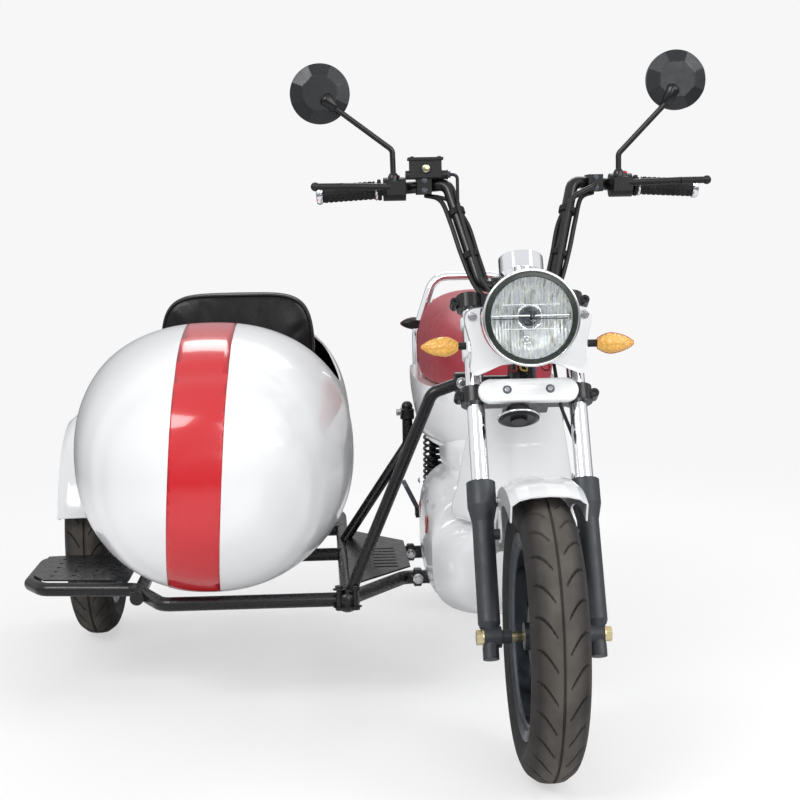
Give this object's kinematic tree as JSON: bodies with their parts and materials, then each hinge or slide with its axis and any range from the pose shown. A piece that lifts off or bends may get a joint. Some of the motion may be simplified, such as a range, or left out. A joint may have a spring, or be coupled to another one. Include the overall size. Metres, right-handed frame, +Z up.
{
  "type": "electric motorcycle with sidecar",
  "caption": "Step-through electric motorcycle with round headlamp, raked fork and a white single-seat sidecar with red stripe on its right side",
  "frame": {"origin": "on the ground at the middle of the footprint of the whole outfit", "axes": "+Z up, the front faces -Y, the sidecar stands on -X"},
  "size_m": [1.2789, 1.73, 1.186],
  "materials": {
    "body_white": "gloss white paint",
    "stripe_red": "gloss red film",
    "frame_black": "satin black powder coat",
    "plastic_black": "satin",
    "fork_charcoal": "matte charcoal",
    "bright_chrome": "polished",
    "alloy_grey": "cast, dark grey",
    "disc_steel": "ground",
    "zinc_steel": "yellow zinc plating",
    "tyre_rubber": "matte",
    "grip_rubber": "matte",
    "seat_red": "soft grain",
    "seat_black": "soft grain",
    "lens_amber": "clear moulded",
    "lens_red": "clear moulded",
    "lamp_glass": "fluted",
    "mirror_face": "polished"
  },
  "bodies": {
    "chassis": {"main_frame": "frame_black", "leg_shield": "body_white", "belly_cover": "body_white", "battery_block": "plastic_black", "rear_body": "body_white", "seat": "seat_red", "grab_rail": "bright_chrome", "rear_fender": "plastic_black", "tail_lamp": "lens_red", "rear_signal_stalks": "plastic_black", "rear_signal_lenses": "lens_amber", "swingarm": "frame_black", "rear_shocks": "bright_chrome", "rear_axle": "zinc_steel", "sidecar_frame": "frame_black", "sidecar_floor": "frame_black", "sidecar_struts": "frame_black", "sidecar_tub": "body_white", "tub_stripe": "stripe_red", "sidecar_seat": "seat_black", "sidecar_mudguard": "body_white", "sidecar_axle": "frame_black"},
    "steering": {"fork_yokes": "frame_black", "fork_tubes": "bright_chrome", "fork_sliders": "fork_charcoal", "front_axle": "zinc_steel", "front_fender": "body_white", "lamp_bracket": "body_white", "lamp_shell": "bright_chrome", "lamp_lens": "lamp_glass", "yoke_cover": "body_white", "horn": "plastic_black", "speedometer": "bright_chrome", "front_signal_stalks": "plastic_black", "front_signal_lenses": "lens_amber", "handlebar": "frame_black", "grips": "grip_rubber", "bar_controls": "plastic_black", "mirrors": "plastic_black", "mirror_glass": "mirror_face", "brake_caliper": "frame_black", "control_cables": "plastic_black"},
    "front_wheel": {"front_tyre": "tyre_rubber", "front_rim": "alloy_grey", "brake_disc": "disc_steel"},
    "rear_wheel": {"rear_tyre": "tyre_rubber", "rear_hub": "alloy_grey"},
    "sidecar_wheel": {"sidecar_tyre": "tyre_rubber", "sidecar_rim": "alloy_grey"},
    "footrest_right": {"right_footrest": "alloy_grey"},
    "footrest_left": {"left_footrest": "alloy_grey"}
  },
  "joints": [
    {"name": "steering_turn", "type": "hinge", "parent": "chassis", "child": "steering", "pos_m": [0.286, -0.37574, 0.65873], "axis": [0, 0.4617, 0.887], "range_deg": [-35, 35]},
    {"name": "front_wheel_spin", "type": "hinge", "parent": "steering", "child": "front_wheel", "pos_m": [0.286, -0.635, 0.23], "axis": [1, 0, 0], "continuous": true},
    {"name": "rear_wheel_spin", "type": "hinge", "parent": "chassis", "child": "rear_wheel", "pos_m": [0.286, 0.635, 0.23], "axis": [1, 0, 0], "continuous": true},
    {"name": "sidecar_wheel_spin", "type": "hinge", "parent": "chassis", "child": "sidecar_wheel", "pos_m": [-0.559, 0.453, 0.23], "axis": [1, 0, 0], "continuous": true},
    {"name": "footrest_right_fold", "type": "hinge", "parent": "chassis", "child": "footrest_right", "pos_m": [0.138, 0.165, 0.297], "axis": [0, 1, 0], "range_deg": [-63, 0]},
    {"name": "footrest_left_fold", "type": "hinge", "parent": "chassis", "child": "footrest_left", "pos_m": [0.434, 0.165, 0.297], "axis": [0, 1, 0], "range_deg": [0, 63]}
  ]
}
